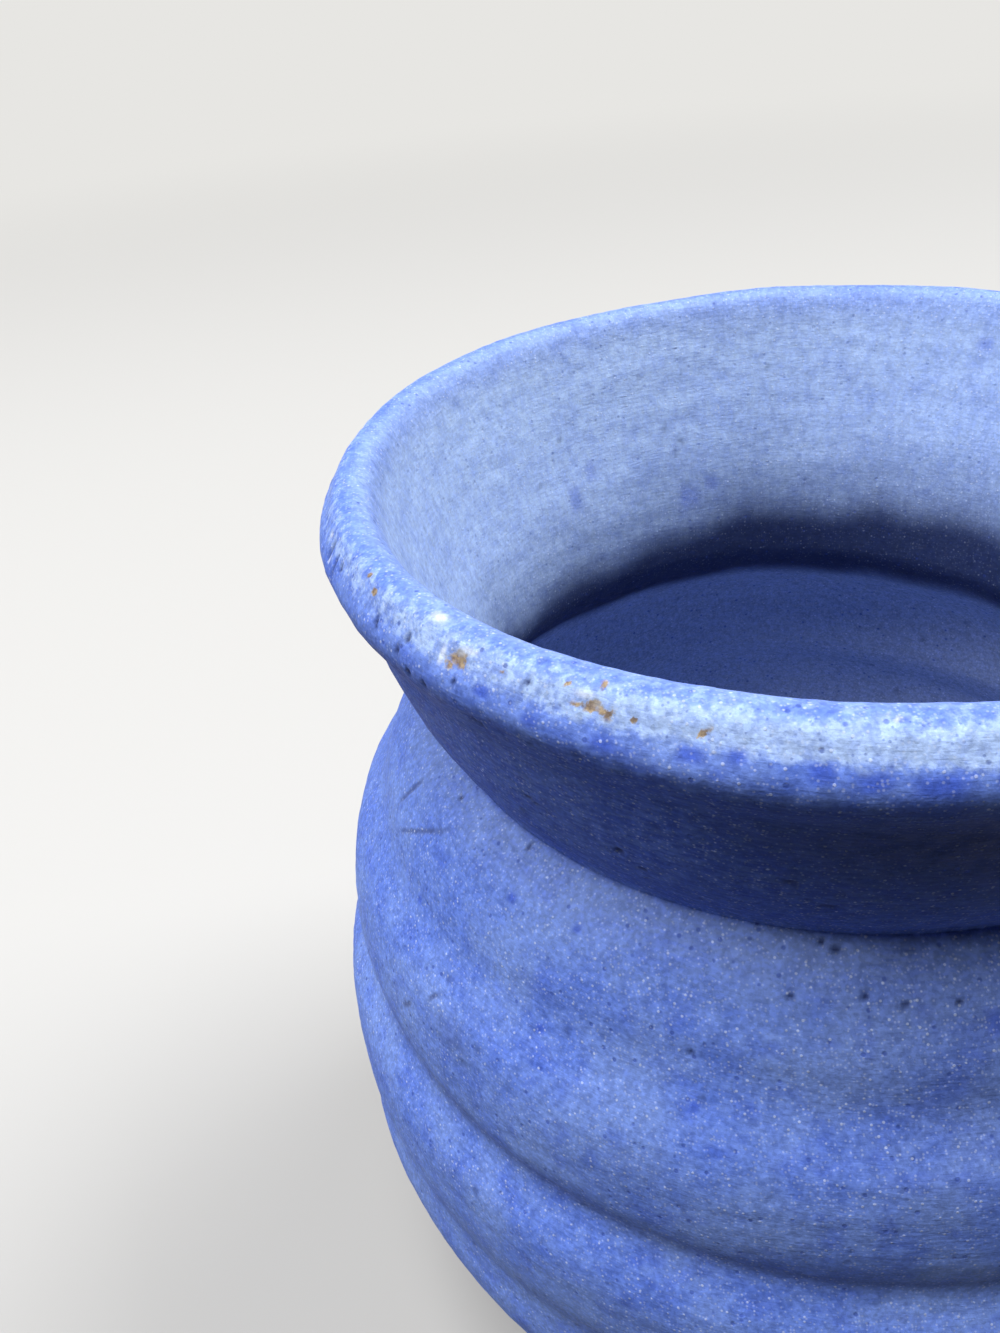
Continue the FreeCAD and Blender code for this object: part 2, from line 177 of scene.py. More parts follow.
DEEP_SPOTS = (
    (-51.4, 31.5, 0.45, 0.4, 0, 0.03),
    (-42.0, 30.9, 0.35, 0.3, 0, 0.03),
    (-66.2, 38.6, 0.35, 0.4, 0, 0.03),
    (1.2, 32.6, 0.8, 1.0, 0, 0.03),
    (-26.4, 40.4, 0.35, 0.35, 0, 0.03),
    (-43.6, 39.8, 0.4, 0.4, 0, 0.03),
    (-40.8, 4.1, 0.6, 0.4, 0, 0.02),
    (-46.2, 3.6, 0.6, 0.35, 0, 0.02),
    (-34.2, 4.1, 0.8, 0.45, 0, 0.02),
    (-27.2, 3.6, 0.75, 0.45, 0, 0.02),
    (-23.6, 3.1, 0.5, 0.4, 0, 0.02),
    (-17.6, 3.6, 0.7, 0.55, 0, 0.02),
    (-13.8, 3.9, 0.85, 0.55, 20, 0.02),
    (-9.6, 4.1, 1.4, 0.6, 0, 0.02),
    (-4.6, 3.9, 0.9, 0.5, 0, 0.02),
    (-20.6, 0.2, 0.25, 0.18, 0, 0.02),
    (-12.2, 0.5, 0.5, 0.25, 0, 0.02),
    (-146.0, -19.1, 0.8, 1.6, 0, 0.03),
    (-150.8, -16.6, 0.7, 1.1, 0, 0.03),
    (-171.8, -22.6, 1.2, 1.4, 0, 0.03),
    (-176.5, -21.4, 0.7, 0.9, 0, 0.03),
    (136.2, -5.9, 0.8, 0.7, 0, 0.02),
)
PALE_SPOTS_AND_GLINT = (
    (-54.2, 0.5, 0.7, 0.4, 0, 0.0),
    # A painted glint on the lip's front
    (-12.6, 0.45, 0.45, 0.09, -38, 0.0),
    (-49.0, 1.7, 0.9, 0.22, 15, 0.0),
    (-51.6, 2.6, 0.24, 0.6, 0, 0.0),
    (-36.0, 1.7, 0.9, 0.16, -10, 0.0),
    (-77.0, 3.6, 0.2, 0.26, 0, 0.0),
    (-79.4, 2.4, 0.3, 0.22, 0, 0.0),
    (88.0, 0.9, 0.7, 0.3, 10, 0.0),
    (-170.0, 1.2, 0.9, 0.35, 0, 0.0),
)
SCRATCHES = (
    (-77.0, 32.7, 2.2, 0.26, 65, 0.09),
    (-70.5, 33.7, 4.2, 0.24, 37, 0.08),
    (-62.0, 47.3, 0.9, 0.24, 50, 0.06),
    (-57.6, 43.6, 0.8, 0.22, 50, 0.06),
    (63.0, 44.0, 3.2, 0.14, 12, 0.07),
    (171.0, 36.0, 2.6, 0.15, -30, 0.07),
)
STAINS_AND_SHADE = (
    (-53.8, 45.2, 2.4, 1.6, 0, 0.0),
    (120.0, 70.0, 5.0, 3.0, 0, 0.0),
    # A broad painted shade on the front of the shoulder, under the lip
    (8.0, 37.0, 16.0, 9.0, 0, 0.0),
)
MARKS = {"paste_spot": PASTE_SPOTS, "dark_pit": DARK_PITS, "deep_spot": DEEP_SPOTS,
         "pale_spot_and_glint": PALE_SPOTS_AND_GLINT, "scratch": SCRATCHES, "stain_and_shade": STAINS_AND_SHADE}
STAIN_SHARE = 0.34
# A mark is worked out over rows of this many half sizes, and is as good as nought at this power
MARK_REACH = 2.0
MARK_GONE = 50.0

# Small pits all over. Ranges: half size in mm, the other half size as a share of it, depth in mm.
# They stop a few mm before the wall's start and its end
SCATTERED_PITS = 420
SCATTER_SEED = 11
PIT_HALVES_MM = (0.16, 0.42)
PIT_SHARES = (0.7, 1.3)
PIT_DEPTHS_MM = (0.03, 0.12)
PIT_MARGINS_MM = (4.0, -3.0)
PIT_DARKNESS_SHARE = 0.40

# Random waves have this many crests in the place of one
CREST_SHARES = (0.7, 1.4)
# Waves of the glaze's face: height in mm, gap between crests in mm, how many, seed, how flat they lie
FACE_WAVES = ((0.08, 46, 18, 1, 1.0), (0.035, 11, 30, 2, 1.0), (0.018, 2.6, 40, 3, 9.0),
              (0.014, 1.9, 60, 4, 1.0))
INNER_WAVES = ((0.14, 8.5, 24, 5, 14.0),)
# Waves of the edges of the glaze and of the painted shade below the throat, read on a ring: height in
# mm, gap in mm, how many, seed
RING_RADIUS_MM = 30
EDGE_WAVES = (0.27, 14, 14, 6)
THROAT_SHADE_WAVES = (0.55, 9, 20, 7)
# Ridges across the wall: height, mm below the landmark, width in mm. The first height is in mm; the
# second is the share of painted shade darkening the groove
GATHERED_IN_CREASE = (0.75, 0.3, 1.5)
SHADE_IN_GROOVE = (0.45, 0.2, 0.9)
# The face goes no deeper and stands no prouder than this, and thins to nothing at the foot
DEEPEST_MM = 0.33
PROUDEST_MM = 0.90
DRAWN_UP_MM = 0.45
DRAWN_UP_REACH_MM = 4.0
THIN_REACH_MM = 1.0
THINNEST_MM = 0.05

# Bands of finish as smooth steps: share added, and start and end in mm down the outside from the
# lip's top or the crease, up from the throat's painted shade, or down the inside from the lip's top
WORN_STEPS = ((0.35, -2.0, -0.4), (0.65, 0.1, 1.7), (-1.0, 2.4, 4.0))
# Painted shade on the underside of the lip's flare, from below the lip
UNDER_LIP_SHADE_STEPS = ((1.0, 3.2, 6.8),)
# Painted shadow under the lip at the front
LIP_SHADOW_STEPS = ((1.0, 4.6, 8.0), (-1.0, 9.0, 24.0))
# The painted shade under the flare ends at the crease
UNDER_LIP_SHADE_END_STEPS = ((-1.0, -3.0, 0.0),)
# Greyer band under the crease, partly the glaze's own tone and partly a painted reflection
CHALK_AND_REFLECTION_STEPS = ((1.0, -1.5, 0.0), (-1.0, 1.0, 7.0))
# Paler glaze inside the neck, partly its own tone and partly painted light
INSIDE_STEPS = ((0.42, -0.6, 1.6), (0.58, 1.4, 5.0))
DEPTH_STEPS = ((1.0, 0.0, 6.0),)
# Painted shade below the throat, where the throat's overhang shades the inside
THROAT_SHADE_STEPS = ((0.48, -11.0, 0.0), (0.52, -2.6, 2.4), (-1.0, 8.0, 14.5))
# Sides of the jar: turn in degrees, least share at the far side, power of the cosine between them.
# The lip's wear has its painted highlight strongest there, the inside's painted light is strongest
# there, and the throat's painted shade stands highest there
LIP_HIGHLIGHT_SIDE = (8.0, 0.34, 2.0)
LIT_INSIDE_SIDE = (-145.0, 0.36, 1.0)
THROAT_SHADE_SIDE = (130.0, 0.0, 2.0)
THROAT_SHADE_HIGHER_MM = 5.4
# Where the painted shadow under the lip is darkest, round the front, and the cosines between which it
# comes in
LIP_SHADOW_TURN = 10.0
LIP_SHADOW_COSINES = (0.72, 1.0)

# Textures of each material: the shared group, its size in mm, and its other numbers in order
GLAZE_TEXTURES = {
    "clouds": ("clouds", 8.0, 0.38, 0.64),
    "mottle": ("clouds", 1.5, 0.36, 0.66, 5.0),
    "patches": ("clouds", 2.8, 0.50, 0.68),
    "ragged": ("clouds", 0.8, 0.34, 0.68, 5.0),
    "ochre": ("clouds", 0.45, 0.35, 0.65),
    "streaks": ("streaks", 0.30, 5.0),
    "drips": ("streaks", 2.0, 0.45, 0.34, 0.66),
    "flecks": ("flecks", 0.25, 0.45),
    "coarse": ("flecks", 0.60, 0.70),
    "crystals": ("specks", 0.38, 0.12, 0.36),
    "dust": ("specks", 0.24, 0.30, 0.48),
    "specks": ("specks", 0.66, 0.11, 0.34),
    "nicks": ("specks", 0.30, 0.16, 0.40),
    "grain": ("grain", 0.24, 0.5),
}
PASTE_TEXTURES = {
    "clouds": ("clouds", 4.0, 0.35, 0.65),
    "mottle": ("clouds", 0.9, 0.35, 0.68),
    "streaks": ("streaks", 0.5, 9.0),
    "quartz": ("specks", 0.5, 0.16, 0.40),
    "grit": ("specks", 0.8, 0.10, 0.30),
}
GLAZE_SPECULAR = 0.14
PASTE_SPECULAR = 0.2

# name, turn and height as seen from the jar in degrees, distance m, size m, watts, colour
LAMPS = (
    ("overhead", -60.0, 74.0, 1.60, 0.90, 22.0, (1.0, 1.0, 1.0)),
    ("right_side", 103.0, 54.0, 1.60, 0.90, 21.5, (0.98, 0.99, 1.0)),
    ("left_side", -94.0, 40.0, 1.60, 0.90, 13.2, (1.0, 1.0, 1.0)),
)
FLOOR_HALF = 12.0
FLOOR_ROUGHNESS = 0.9
BLACK = (0.0, 0.0, 0.0, 1.0)


def linear(red, green, blue):
    """A colour of 0 to 255 as shown on a screen, as the even light that it stands for."""
    shares = [value / 255.0 for value in (red, green, blue)]
    return tuple(share / 12.92 if share <= 0.04045 else ((share + 0.055) / 1.055) ** 2.4
                 for share in shares)


def length(name, description, default):
    """A size in metres for the panel."""
    return FloatProperty(name=name, description=description, default=default, min=0.0,
                         precision=5, unit="LENGTH", subtype="DISTANCE")


def angle(name, description, default):
    """An angle in radians for the panel."""
    return FloatProperty(name=name, description=description, default=default, unit="ROTATION",
                         subtype="ANGLE")


def colour(name, description, *screen):
    """A colour for the panel, from its red, green and blue on a screen."""
    return FloatVectorProperty(name=name, description=description, default=linear(*screen),
                               size=3, min=0.0, max=1.0, subtype="COLOR")


class JarSizes(bpy.types.PropertyGroup):
    """The jar's sizes, most of them read from the paste and its joints."""

    jar_height: length("Height", "Ground to the top of the lip", OUTER_HIGH.z)
    rim_radius: length("Rim radius", "Axis to the outermost point of the lip", 42.0 * MM)
    lip_half_width: length("Half lip width", "Half the thickness of the rounded lip", 2.8 * MM)
    lip_half_height: length("Half lip height", "Lip's top to its outermost point", 3.5 * MM)
    neck_radius: length("Neck radius", "Outside radius at the crease",
                        NECK_JOINT_HIGH.x + CREASE_LEVEL_SHARE * GLAZE)
    crease_height: length("Crease height", "Ground to the crease under the neck",
                          NECK_JOINT_HIGH.z + CREASE_RISE_SHARE * GLAZE)
    neck_wall: length("Neck wall", "Crease radius less throat radius", 2.75 * MM)
    throat_height: length("Throat height", "Ground to the throat", NECK_LOW.z)
    groove_radius: length("Groove radius", "Outside radius in the groove",
                          BELLY_JOINT_HIGH.x + GLAZE)
    groove_height: length("Groove height", "Ground to the groove", BELLY_JOINT_HIGH.z)
    belly_radius: length("Belly radius", "Outside radius of the belly", OUTER_HIGH.x)
    inner_belly_radius: length("Inner belly radius", "Inside radius of the belly",
                               INNER_HIGH.x - GLAZE)
    floor_height: length("Floor height", "Ground to the glazed floor", INNER_LOW.z + GLAZE)
    foot_radius: length("Foot radius", "Outside radius of the glazed foot",
                        FOOT_JOINT_HIGH.x + GLAZE)
    foot_height: length("Foot height", "Ground to the underside of the floor", FOOT_JOINT_HIGH.z)
    bare_foot: length("Bare foot", "Height of the foot left without glaze", OUTER_LOW.z)
    glaze: length("Glaze", "Thickness of the glaze", GLAZE)
    luting: length("Luting", "Height of the slurry joints", LUTING)
    row_step: length("Row step", "Distance between rows of points outside", 0.36 * MM)
    columns: IntProperty(name="Columns", description="Points round the jar", default=880, min=24)
    crowd_share: FloatProperty(name="Crowding", description="How far the points crowd to one side",
                               default=0.34, min=0.0, max=0.8, subtype="FACTOR")
    crowd_turn: angle("Crowded side", "Turn where the points stand closest", math.radians(-35.0))


class GlazeLook(bpy.types.PropertyGroup):
    """Colours of the glaze and the paste."""

    blue: colour("Blue", "Usual colour of the glaze", 93, 124, 218)
    cloud: colour("Cloud", "Paler clouds in the glaze", 131, 159, 228)
    deep: colour("Deep blue", "Where the glaze lies thick", 60, 90, 204)
    # Pale wear of the lip, with a painted highlight strongest at the front
    wear_and_highlight: colour("Wear_and_highlight", "Rubbed lip", 180, 206, 251)
    # Paler glaze inside, partly its own tone and partly painted light, strongest toward the back left
    inside: colour("Inside", "Paler glaze inside the neck", 199, 223, 255)
    # Greyer band under the crease, partly the glaze's own tone and partly a painted reflection
    chalk_and_reflection: colour("Chalk_and_reflection", "Greyer band under the crease", 116, 140, 205)
    # Painted shade on the underside of the lip's flare
    under_lip_shade: colour("Under the lip", "Thick glaze on the underside of the flare", 40, 66, 168)
    # Painted shade below the throat, and painted shadow under the lip at the front
    pool: colour("Pool", "Dark thick glaze under the throat", 13, 27, 72)
    depth: colour("Depth", "Greyer glaze inside the belly", 150, 166, 202)
    crystal: colour("Crystal", "Fine pale crystals", 226, 236, 255)
    speck: colour("Speck", "Fine dark specks", 54, 78, 168)
    pit: colour("Pit", "Floor of the dark pits", 30, 40, 84)
    # Grey of real dirt and scratches, and of painted shade in the groove and on the front of the
    # shoulder
    stain_and_shade: colour("Stain_and_shade", "Grey dirt in the groove and scratches", 76, 90, 140)
    paste: colour("Paste", "Bare quartz paste", 186, 158, 104)
    paste_dark: colour("Dark paste", "Deepest ochre of the paste", 124, 96, 50)
    slurry: colour("Slurry", "Fired slurry of the joints", 204, 188, 160)


class StageLook(bpy.types.PropertyGroup):
    """Camera, lamps and floor."""

    camera_place: FloatVectorProperty(
        name="Camera place", description="From the middle of the mouth, at the lip's top",
        default=(-0.02868, -0.08246, 0.03544), size=3, subtype="TRANSLATION", unit="LENGTH")
    camera_pitch: angle("Camera pitch", "How far the camera looks down", 0.59237)
    camera_roll: angle("Camera roll", "How far the camera leans", -0.11415)
    camera_lens: FloatProperty(name="Lens", description="Focal length in mm for a 36 mm sensor",
                               default=29.30, min=1.0, subtype="DISTANCE_CAMERA")
    floor: colour("Floor", "Plain pale floor", 231, 230, 227)
    floor_lit: colour("Lit floor", "Floor's own colour under the lamps", 197, 196, 194)
    floor_bounce: colour("Floor bounce", "Colour of the light that the floor sends to the jar",
                         70, 70, 69)
    floor_near: length("Lit floor's reach", "Reach of the lit floor round the jar", 0.25)
    floor_far: length("Even floor", "Where the floor is wholly even", 1.0)
    floor_glow: FloatProperty(name="Even floor's level", description="Brightness of the far floor",
                              default=1.0, min=0.0, max=1.0)
    sky: colour("Room", "Light of the plain room", 236, 240, 248)
    sky_level: FloatProperty(name="Room level", description="Strength of the room's light",
                             default=0.03, min=0.0)


def smooth_step(values, low, high):
    """Nought up to low, one from high, and 3t^2 - 2t^3 of the way between them."""
    share = np.clip((values - low) / (high - low), 0.0, 1.0)
    return share * share * (3.0 - 2.0 * share)


def cubic_line(*parts):
    """Points on the cubic B-spline that starts and ends on its first and last control points.

    The knots are even. Each basis column is worked out from the two of the degree below by the
    Cox-de Boor rule, for all samples at once, and the points are the basis times the controls.
    """
    controls = np.vstack(parts)
    degree = 3
    spans = len(controls) - degree
    knots = np.concatenate([np.zeros(degree), np.arange(spans + 1.0), np.full(degree, spans)])
    at = np.linspace(0.0, spans, OUTLINE_SAMPLES)[:, None]
    basis = ((knots[:-1] <= at) & (at < knots[1:])).astype(float)
    basis[-1, spans + degree - 1] = 1.0
    for order in range(1, degree + 1):
        width = knots[order:] - knots[:-order]
        open_span = width > 0
        share = np.where(open_span, (at - knots[:-order]) / np.where(open_span, width, 1.0), 0.0)
        rest = np.where(open_span, 1.0 - share, 0.0)
        basis = share[:, :-1] * basis[:, :-1] + rest[:, 1:] * basis[:, 1:]
    return basis @ controls


def stretched(shares, start, end):
    """Control points at shares of the way across and down from one corner to another."""
    start = np.asarray(start)
    return start + np.asarray(shares) * (np.asarray(end) - start)


class Wall:
    """The glazed outline as one line of radius and height, from the floor's middle to the foot.

    way is the length along it from the top of the lip: above nought down the outside, below nought
    down the inside. marks holds the way of each landmark.
    """

    def __init__(self, sizes):
        s = sizes
        crease = (s.neck_radius, s.crease_height)
        throat = (s.neck_radius - s.neck_wall, s.throat_height)
        groove = (s.groove_radius, s.groove_height)
        groove_inside = (s.groove_radius - s.belly_radius + s.inner_belly_radius, s.groove_height)
        lip = np.array([s.rim_radius, s.jar_height])
        lip_halves = np.array([-s.lip_half_width, -s.lip_half_height])
        joint = np.array([0.0, -s.luting])
        under_groove, under_groove_inside = groove + joint, groove_inside + joint

        neck_outside = cubic_line(
            lip + LIP_OUTSIDE_SHARES * lip_halves,
            stretched(NECK_OUTSIDE_SHARES, (crease[0], lip[1]), (lip[0], crease[1])), crease)
        neck_inside = cubic_line(
            lip + LIP_INSIDE_SHARES * lip_halves,
            stretched(NECK_INSIDE_SHARES, (throat[0], lip[1]),
                      (lip[0] + 2.0 * lip_halves[0], throat[1])), throat)
        shoulder_outside = cubic_line(stretched(SHOULDER_OUTSIDE_SHARES, crease + joint, groove))
        shoulder_inside = cubic_line(
            stretched(SHOULDER_INSIDE_SHARES, throat + joint, groove_inside))
        bowl_outside = cubic_line(
            under_groove,
            stretched((0.0, GROOVE_STEP_SHARE), under_groove, (0.0, s.foot_height)),
            stretched(BOWL_OUTSIDE_SHARES, (s.foot_radius, under_groove[1]),
                      (s.belly_radius, s.foot_height)),
            (s.foot_radius, s.foot_height))
        bowl_inside = cubic_line(
            under_groove_inside,
            stretched((0.0, GROOVE_STEP_SHARE), under_groove_inside, (0.0, s.floor_height)),
            stretched(BOWL_INSIDE_SHARES, (0.0, under_groove_inside[1]),
                      (s.inner_belly_radius, s.floor_height)))
        edge = np.array([[s.foot_radius, s.bare_foot]])

        outside, outside_starts = self.measured([neck_outside, shoulder_outside, bowl_outside, edge])
        inside, inside_starts = self.measured([neck_inside, shoulder_inside, bowl_inside])
        self.way = np.concatenate([-inside[:0:-1, 2], outside[:, 2]])
        self.line = np.concatenate([inside[:0:-1, :2], outside[:, :2]])
        self.marks = {
            "lip": 0.0, "crease": outside_starts[1], "groove": outside_starts[2] - s.luting,
            "foot": outside[-2, 2], "edge": outside[-1, 2],
            "throat": s.luting - inside_starts[1], "groove_inside": s.luting - inside_starts[2],
            "floor": -inside[-1, 2],
        }

    @staticmethod
    def measured(stretches):
        """Stretches joined into one array of radius, height and way, and the way each starts at."""
        points = np.vstack(stretches)
        steps = np.hypot(*np.diff(points, axis=0).T)
        way = np.concatenate([[0.0], np.cumsum(steps)])
        firsts = np.cumsum([0] + [len(piece) for piece in stretches[:-1]])
        return np.column_stack([points, way]), way[firsts]

    def at(self, way):
        """Radius and height at each way, straight between the outline's close points."""
        return np.interp(way, self.way, self.line[:, 0]), np.interp(way, self.way, self.line[:, 1])

    def facing(self, way):
        """The level and upward parts of the direction that the glaze faces.

        It is the line from a little before each way to a little after, turned a quarter round, so
        corners are eased over that short reach.
        """
        reach = 0.5 * MM
        before = self.at(np.clip(way - reach, self.way[0], self.way[-1]))
        after = self.at(np.clip(way + reach, self.way[0], self.way[-1]))
        level, rise = before[1] - after[1], after[0] - before[0]
        size = np.hypot(level, rise)
        return level / size, rise / size

    def place(self, landmark, further_mm):
        """The way a number of millimetres down the outside from a landmark."""
        return self.marks[landmark] + further_mm * MM


def waves(points, crest_gap, count, seed, flatten=1.0):
    """Soft random waves: a sum of cosines of the points along random directions, about one in size.

    crest_gap is about how far apart the crests lie. flatten above one lays the crests level, round
    the jar, by making height count for more.
    """
    draw = np.random.default_rng(seed)
    directions = draw.normal(size=(count, 3))
    directions /= np.linalg.norm(directions, axis=1, keepdims=True)
    directions *= (draw.uniform(*CREST_SHARES, count) * math.tau / crest_gap)[:, None]
    directions[:, :2] /= flatten
    total = np.zeros(points.shape[:-1])
    for direction, phase in zip(directions, draw.uniform(0.0, math.tau, count)):
        total += np.cos(points @ direction + phase)
    return total * math.sqrt(2.0 / count)


def summed_waves(points, table):
    """The waves of a table added up, each times its height."""
    return sum(height * MM * waves(points, crest_gap * MM, count, seed, flatten)
               for height, crest_gap, count, seed, flatten in table)


def ring_waves(turn, height, crest_gap, count, seed):
    """Waves that change round the jar only, because they are read on one level ring."""
    ring = turned_points(RING_RADIUS_MM * MM + 0 * turn, 0 * turn, turn)
    return height * MM * waves(ring, crest_gap * MM, count, seed)


def spots(turn, way, radius, places):
    """How much of each mark shows, from nought to one, and how deep it goes.

    Each mark is a bell exp(-a^4 - b^4) of the distances round and down the wall, as shares of its
    half sizes and turned by its lean. The fourth power gives it a flat bottom and a plain edge.
    """
    shown = np.zeros_like(way)
    depth = np.zeros_like(way)
    for around, down, half_round, half_down, lean, deep in places:
        rows = np.abs(way[:, 0] - down * MM) < MARK_REACH * max(half_round, half_down) * MM
        if not rows.any():
            continue
        gap = (turn[rows] - math.radians(around) + math.pi) % math.tau - math.pi
        level, below = gap * radius[rows] / MM, way[rows] / MM - down
        cosine, sine = math.cos(math.radians(lean)), math.sin(math.radians(lean))
        across = (level * cosine - below * sine) / half_round
        along = (level * sine + below * cosine) / half_down
        bell = np.exp(-np.minimum(across ** 4 + along ** 4, MARK_GONE))
        shown[rows] = np.maximum(shown[rows], bell)
        depth[rows] = np.maximum(depth[rows], bell * deep * MM)
    return shown, depth


def scattered_pits(wall):
    """Small shallow pits all over, drawn at random, in the form of the tables of marks."""
    draw = np.random.default_rng(SCATTER_SEED)
    after, before = PIT_MARGINS_MM
    turns = draw.uniform(-180.0, 180.0, SCATTERED_PITS)
    ways = draw.uniform(wall.way[0] / MM + after, wall.way[-1] / MM + before, SCATTERED_PITS)
    halves = draw.uniform(*PIT_HALVES_MM, SCATTERED_PITS)
    longs = halves * draw.uniform(*PIT_SHARES, SCATTERED_PITS)
    leans = draw.uniform(-90.0, 90.0, SCATTERED_PITS)
    deeps = draw.uniform(*PIT_DEPTHS_MM, SCATTERED_PITS)
    return list(zip(turns, ways, halves, longs, leans, deeps))


def eased(way, steps):
    """A sum of smooth steps along a way: each adds its share from its start to its end."""
    return sum(share * smooth_step(way / MM, start, end) for share, start, end in steps)


def ridge(way, landmark, high, below, wide):
    """A ridge round the wall: its height times exp(-x^2).

    x is the way past a place in mm below a landmark, over a width in mm.
    """
    return high * np.exp(-((way - landmark - below * MM) / (wide * MM)) ** 2)


def toward(turn, side, least, power):
    """From least at the far side of the jar up to one at a side, by a power of a raised cosine."""
    return least + (1.0 - least) * (0.5 + 0.5 * np.cos(turn - math.radians(side))) ** power


def finish_bands(wall, turn, way):
    """How much each finish shows that lies in a band round the jar. The wear has a painted highlight,
    the grey band has a painted reflection, and the inside has painted light. The bands under the
    flare, below the throat and under the lip are painted shade.
    """
    crease, throat = wall.marks["crease"], wall.marks["throat"]
    depth = eased(throat - way, DEPTH_STEPS)
    # Painted shade below the throat: its edge wavers round the jar and stands highest at the right
    # back
    below = throat - way + ring_waves(turn, *THROAT_SHADE_WAVES)
    below += THROAT_SHADE_HIGHER_MM * MM * toward(turn, *THROAT_SHADE_SIDE)
    # Painted shadow under the lip, round the front
    lip_shadow_side = smooth_step(np.cos(turn - math.radians(LIP_SHADOW_TURN)), *LIP_SHADOW_COSINES)
    return {
        # Wear of the lip, with a painted highlight strongest at the front
        "wear_and_highlight": toward(turn, *LIP_HIGHLIGHT_SIDE) * eased(way, WORN_STEPS),
        # Greyer band under the crease, partly a painted reflection
        "chalk_and_reflection": eased(way - crease, CHALK_AND_REFLECTION_STEPS),
        # Painted shade under the flare
        "under_lip_shade": eased(way, UNDER_LIP_SHADE_STEPS) + eased(way - crease, UNDER_LIP_SHADE_END_STEPS),
        # Painted shade below the throat and painted shadow under the lip
        "pool": np.maximum(eased(below, THROAT_SHADE_STEPS), lip_shadow_side * eased(way, LIP_SHADOW_STEPS)),
        # Paler glaze inside, with painted light strongest toward the back left
        "inside": toward(turn, *LIT_INSIDE_SIDE) * eased(-way, INSIDE_STEPS) * (1.0 - depth),
        "depth": depth,
    }


def glaze_lift(wall, turn, way, radius, points):
    """How far the glaze stands proud of its even face, and how much each finish shows, as arrays.

    The lift adds soft waves for a hand-turned wall, fine level ridges, pebbles, and glaze gathered
    in the crease, takes away the marks, and thins to nothing at the glaze's edge on the foot.
    """
    shows = finish_bands(wall, turn, way)
    lift = summed_waves(points, FACE_WAVES) + shows["depth"] * summed_waves(points, INNER_WAVES)
    lift += MM * ridge(way, wall.marks["crease"], *GATHERED_IN_CREASE)

    marks = {name: spots(turn, way, radius, places) for name, places in MARKS.items()}
    marks["pit"] = spots(turn, way, radius, scattered_pits(wall))
    lift -= np.maximum.reduce([depth for _, depth in marks.values()])
    lift = np.clip(lift, -DEEPEST_MM * MM, PROUDEST_MM * MM)
    edge = wall.marks["edge"]
    thin = smooth_step(way, edge - THIN_REACH_MM * MM, edge)
    lift = lift * (1.0 - thin) - (GLAZE - THINNEST_MM * MM) * thin

    shown = {name: mark for name, (mark, _) in marks.items()}
    scratch, pit = shown.pop("scratch"), shown.pop("pit")
    shown["dark_pit"] = np.maximum(shown["dark_pit"], pit * PIT_DARKNESS_SHARE)
    # Painted shade darkening the groove
    groove_shade = ridge(way, wall.marks["groove"], *SHADE_IN_GROOVE)
    shown["stain_and_shade"] = np.maximum.reduce([STAIN_SHARE * shown["stain_and_shade"], scratch, groove_shade])
    return lift, {**shows, **shown}


def turns_round(sizes):
    """Even turns moved by a share of a sine, so that they crowd about one side of the jar."""
    even = np.linspace(0.0, math.tau, sizes.columns, endpoint=False)
    return even + sizes.crowd_turn - sizes.crowd_share * np.sin(even)


def turned_points(radius, height, turn):
    """Points at a radius and height, turned about the axis from the front to the right."""
    return np.stack([radius * np.sin(turn), -radius * np.cos(turn), height], axis=-1)


def glaze_face(wall, ways, turns):
    """The glaze's face over rows of ways and columns of turns: points, normals and finishes.

    A point is the wall's radius and height plus the lift along its facing, turned about the axis.
    One more row and column at each side let each normal be the cross product of the differences
    between its neighbours, so that it doesn't break where two coats meet.
    """
    margin = 0.3 * MM
    rows = np.concatenate([[ways[0] + margin], ways, [ways[-1] - margin]])
    rows = np.clip(rows, wall.way[0], wall.way[-1])
    columns = np.concatenate([[turns[-1] - math.tau], turns, [turns[0] + math.tau]])
    way, turn = np.meshgrid(rows, columns, indexing="ij")
    ragged = DRAWN_UP_MM * MM + ring_waves(turn, *EDGE_WAVES)
    edge = wall.marks["edge"]
    drawn_up = way - ragged * smooth_step(way, edge - DRAWN_UP_REACH_MM * MM, edge)
    radius, height = wall.at(drawn_up)
    level, rise = wall.facing(drawn_up)
    lift, shows = glaze_lift(wall, turn, way, radius, turned_points(radius, height, turn))
    points = turned_points(radius + lift * level, height + lift * rise, turn)
    up_rows = points[2:, 1:-1] - points[:-2, 1:-1]
    round_columns = points[1:-1, 2:] - points[1:-1, :-2]
    normals = np.cross(round_columns, up_rows)
    normals /= np.linalg.norm(normals, axis=-1, keepdims=True)
    return points[1:-1, 1:-1], normals, {name: show[1:-1, 1:-1] for name, show in shows.items()}


def glaze_back(wall, ways, turns, depth):
    """The even back of a coat: the wall moved in by its depth, turned about the axis."""
    way, turn = np.meshgrid(ways, turns, indexing="ij")
    radius, height = wall.at(way)
    level, rise = wall.facing(way)
    radius = np.maximum(radius - level * depth, BACK_LEAST_RADIUS_MM * MM)
    points = turned_points(radius, height - rise * depth, turn)
    return points, -turned_points(level, rise, turn)


def ring_faces(rows, columns, wrap):
    """Four-cornered faces between rows of points that each close on themselves.

    With wrap, the last row also joins the first, so that the whole closes like a ring.
    """
    row = np.arange(rows if wrap else rows - 1)[:, None]
    above = (row + 1) % rows
    column = np.arange(columns)
    ahead = (column + 1) % columns
    corners = np.broadcast_arrays(row * columns + column, row * columns + ahead,
                                  above * columns + ahead, above * columns + column)
    return np.stack(corners, axis=-1).reshape(-1, 4)


def fan_faces(first, columns, middle, turn_over):
    """Three-cornered faces from a row of points to one middle point."""
    column = np.arange(columns)
    ahead = (column + 1) % columns
    corners = [first + column, first + ahead, np.full(columns, middle)]
    return np.stack(corners[::-1] if turn_over else corners, axis=-1)


